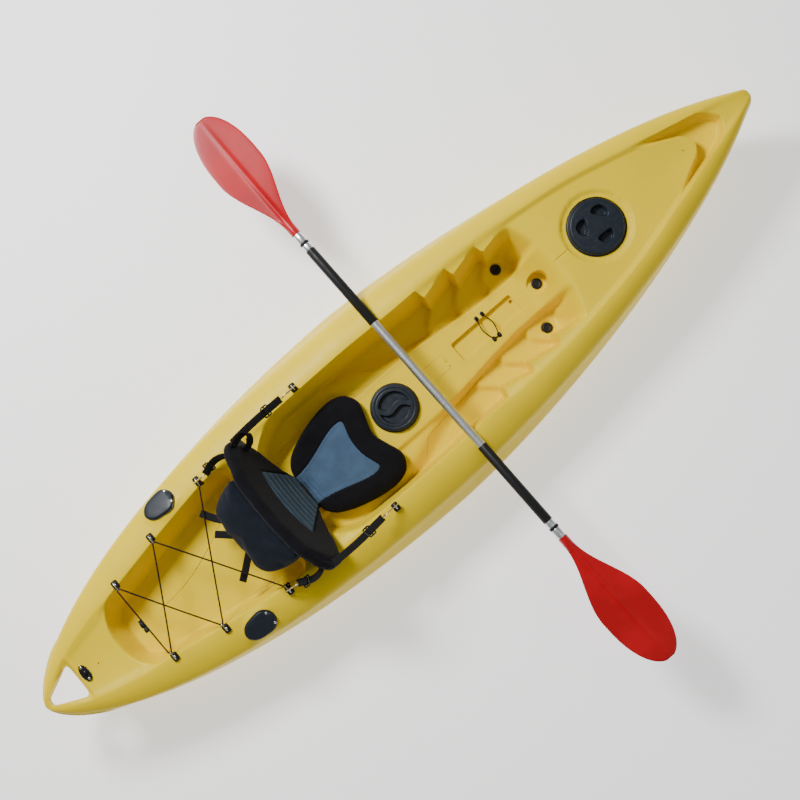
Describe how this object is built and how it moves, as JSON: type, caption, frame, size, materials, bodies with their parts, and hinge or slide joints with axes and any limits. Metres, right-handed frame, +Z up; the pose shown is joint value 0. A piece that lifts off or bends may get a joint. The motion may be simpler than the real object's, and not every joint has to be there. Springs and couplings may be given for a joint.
{
  "type": "sit-on-top fishing kayak",
  "caption": "Moulded sit-on-top fishing kayak with clip-in seat, tank well lacing, round hatches, flush rod holders with caps, and a paddle laid across its rails.",
  "frame": {"origin": "on the floor under the flat of the middle keel, on the centreline, midway between bow and stern tips", "axes": "+X to the bow, +Y to port, +Z up"},
  "size_m": [2.95, 2.2556, 0.4916],
  "materials": {
    "moulding": "satin yellow polyethylene, finely orange-peeled",
    "hatch_plastic": "satin slate-black moulded plastic",
    "black_rubber": "matt rubber",
    "pad_eye_black": "black moulded eye with a bright screw",
    "cord": "braided shock cord",
    "webbing": "woven black webbing",
    "hook_brass": "polished",
    "seat_black": "black neoprene-faced fabric",
    "seat_grey": "blue-grey fabric panels",
    "steel": "polished stainless steel",
    "paddle_tube": "satin anodised tube",
    "paddle_hold": "black heat-shrunk sleeve",
    "blade_red": "glossy translucent red plastic"
  },
  "bodies": {
    "kayak": {"bow_hatch_rim": "hatch_plastic", "centre_hatch_rim": "hatch_plastic", "cord_lock": "black_rubber", "drain_plug": "steel", "hook_front_port": "hook_brass", "hook_front_starboard": "hook_brass", "hook_rear_port": "hook_brass", "hook_rear_starboard": "hook_brass", "hull": "moulding", "pad_eye_seat_fore_port": "pad_eye_black", "pad_eye_seat_fore_starboard": "pad_eye_black", "pad_eye_tank_aft_port": "pad_eye_black", "pad_eye_tank_aft_starboard": "pad_eye_black", "pad_eye_tank_fore_port": "pad_eye_black", "pad_eye_tank_fore_starboard": "pad_eye_black", "pad_eye_tank_mid_port": "pad_eye_black", "pad_eye_tank_mid_starboard": "pad_eye_black", "rod_holder_port": "hatch_plastic", "rod_holder_starboard": "hatch_plastic", "scupper_plug_console": "black_rubber", "scupper_plug_port": "black_rubber", "scupper_plug_starboard": "black_rubber", "seat_cushion": "seat_black", "strap_front_port": "webbing", "strap_front_starboard": "webbing", "strap_rear_port": "webbing", "strap_rear_starboard": "webbing", "tank_lacing": "cord", "tray_cord": "cord"},
    "bow_lid": {"bow_hatch_lid": "hatch_plastic"},
    "centre_lid": {"centre_hatch_lid": "hatch_plastic"},
    "cap_port": {"rod_cap_port": "black_rubber"},
    "cap_starboard": {"rod_cap_starboard": "black_rubber"},
    "backrest": {"seat_back": "seat_grey", "seat_pouch": "seat_black"},
    "paddle": {"paddle_blade_port": "blade_red", "paddle_blade_starboard": "blade_red", "paddle_grip_port": "paddle_hold", "paddle_grip_starboard": "paddle_hold", "paddle_shaft": "paddle_tube"}
  },
  "joints": [
    {"name": "bow_hatch_lift", "type": "slide", "parent": "kayak", "child": "bow_lid", "axis": [0, 0, 1], "range_m": [0, 0.15]},
    {"name": "centre_hatch_lift", "type": "slide", "parent": "kayak", "child": "centre_lid", "axis": [0, 0, 1], "range_m": [0, 0.15]},
    {"name": "rod_cap_port_hinge", "type": "hinge", "parent": "kayak", "child": "cap_port", "pos_m": [-0.846, 0.25113, 0.2791], "axis": [0, -0.9397, 0.342], "range_deg": [0, 100]},
    {"name": "rod_cap_starboard_hinge", "type": "hinge", "parent": "kayak", "child": "cap_starboard", "pos_m": [-0.846, -0.25113, 0.2791], "axis": [0, -0.9397, -0.342], "range_deg": [0, 100]},
    {"name": "backrest_fold", "type": "hinge", "parent": "kayak", "child": "backrest", "pos_m": [-0.408, -0.019, 0.188], "axis": [0, 1, 0], "range_deg": [0, 55], "deforming": ["strap_front_port", "strap_front_starboard", "strap_rear_port", "strap_rear_starboard"]},
    {"name": "paddle_lift", "type": "slide", "parent": "kayak", "child": "paddle", "axis": [0, 0, 1], "range_m": [0, 0.4]}
  ]
}
